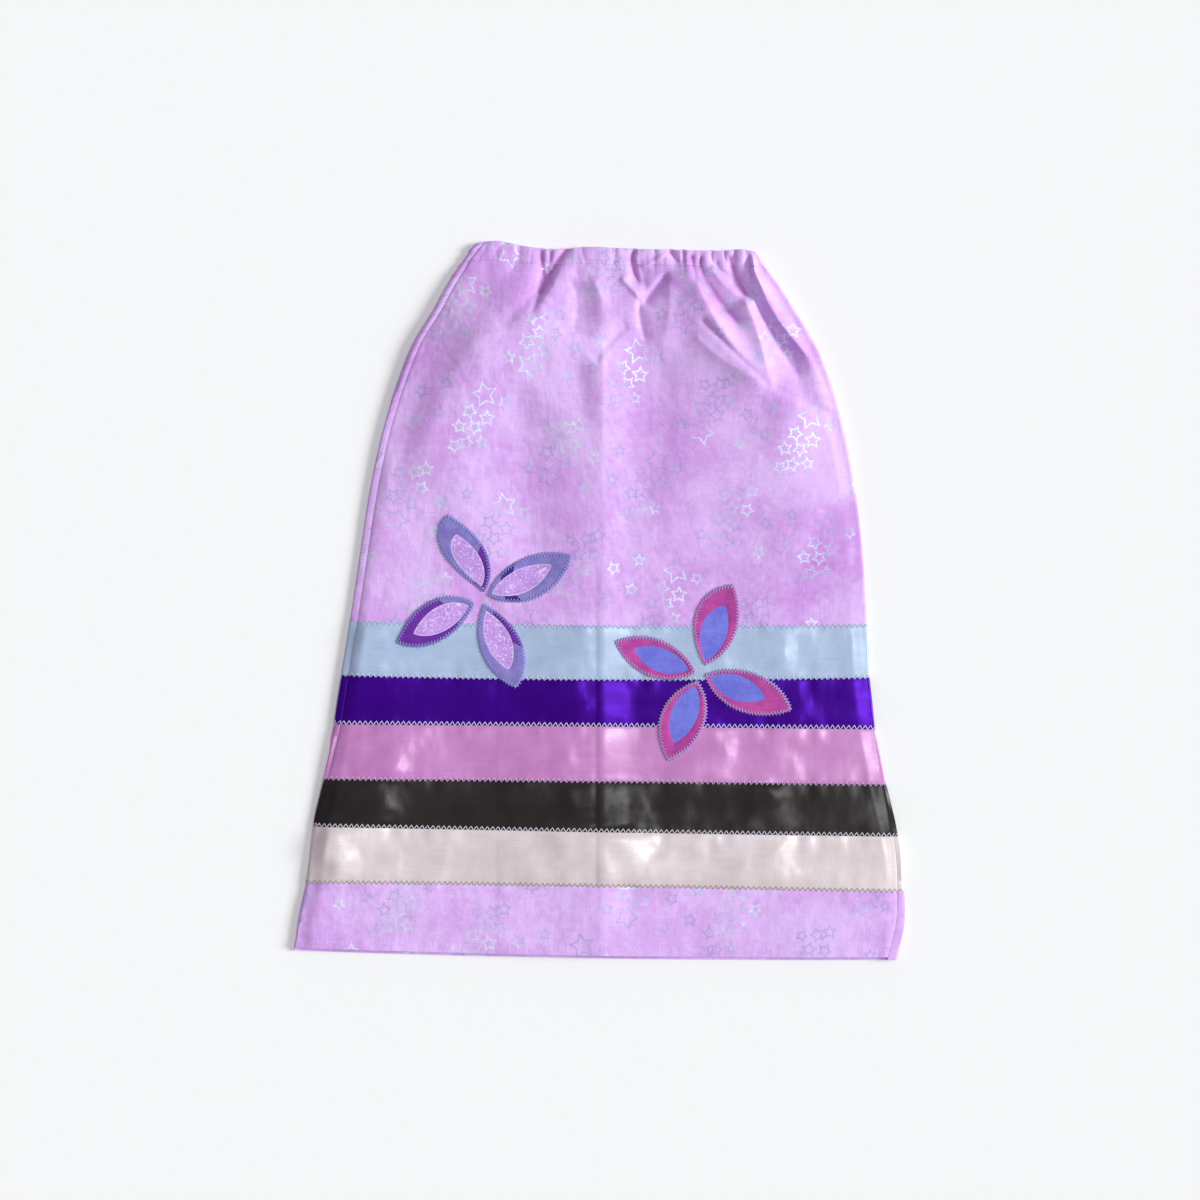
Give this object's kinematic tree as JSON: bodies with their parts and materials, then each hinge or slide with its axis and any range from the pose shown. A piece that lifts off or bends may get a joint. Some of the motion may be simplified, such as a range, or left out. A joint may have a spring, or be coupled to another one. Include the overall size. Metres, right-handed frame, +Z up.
{
  "type": "ribbon skirt laid flat",
  "caption": "Child's A-line ribbon skirt laid flat: star-print cotton gathered on an elastic waist, bands of satin ribbon above the hem, applique petal flowers on the front.",
  "frame": {"origin": "middle of the footprint of the laid skirt, on the surface that it lies on", "axes": "+X to the right of the laid skirt as it is seen, +Y from the hem to the waist, +Z up, out of the skirt's front"},
  "size_m": [0.4401, 0.5176, 0.0166],
  "materials": {
    "star_cotton": "plain-weave cotton in mottled orchid, printed with silver star outlines, matt with a soft sheen",
    "silver_satin": "pale silver-blue polyester satin ribbon, lustrous",
    "purple_satin": "deep purple polyester satin ribbon, lustrous",
    "pink_satin": "orchid pink polyester satin ribbon, lustrous",
    "black_satin": "black polyester satin ribbon, lustrous",
    "cream_satin": "off-white polyester satin ribbon, lustrous",
    "lilac_cotton": "matt cotton in lavender dyed through to purple",
    "swirl_cotton": "matt cotton in lilac with fine white swirls",
    "berry_cotton": "matt cotton in mottled raspberry",
    "periwinkle_cotton": "matt cotton in periwinkle"
  },
  "bodies": {
    "root": {"front_panel": "star_cotton", "back_panel": "star_cotton", "front_casing": "star_cotton", "back_casing": "star_cotton", "front_ribbon_silver": "silver_satin", "back_ribbon_silver": "silver_satin", "front_ribbon_purple": "purple_satin", "back_ribbon_purple": "purple_satin", "front_ribbon_pink": "pink_satin", "back_ribbon_pink": "pink_satin", "front_ribbon_black": "black_satin", "back_ribbon_black": "black_satin", "front_ribbon_cream": "cream_satin", "back_ribbon_cream": "cream_satin", "lilac_petal_upper_left": "lilac_cotton", "lilac_insert_upper_left": "swirl_cotton", "lilac_petal_upper_right": "lilac_cotton", "lilac_insert_upper_right": "swirl_cotton", "lilac_petal_lower_left": "lilac_cotton", "lilac_insert_lower_left": "swirl_cotton", "lilac_petal_lower_right": "lilac_cotton", "lilac_insert_lower_right": "swirl_cotton", "berry_petal_upper": "berry_cotton", "berry_insert_upper": "periwinkle_cotton", "berry_petal_left": "berry_cotton", "berry_insert_left": "periwinkle_cotton", "berry_petal_right": "berry_cotton", "berry_insert_right": "periwinkle_cotton", "berry_petal_lower": "berry_cotton", "berry_insert_lower": "periwinkle_cotton"}
  },
  "joints": []
}
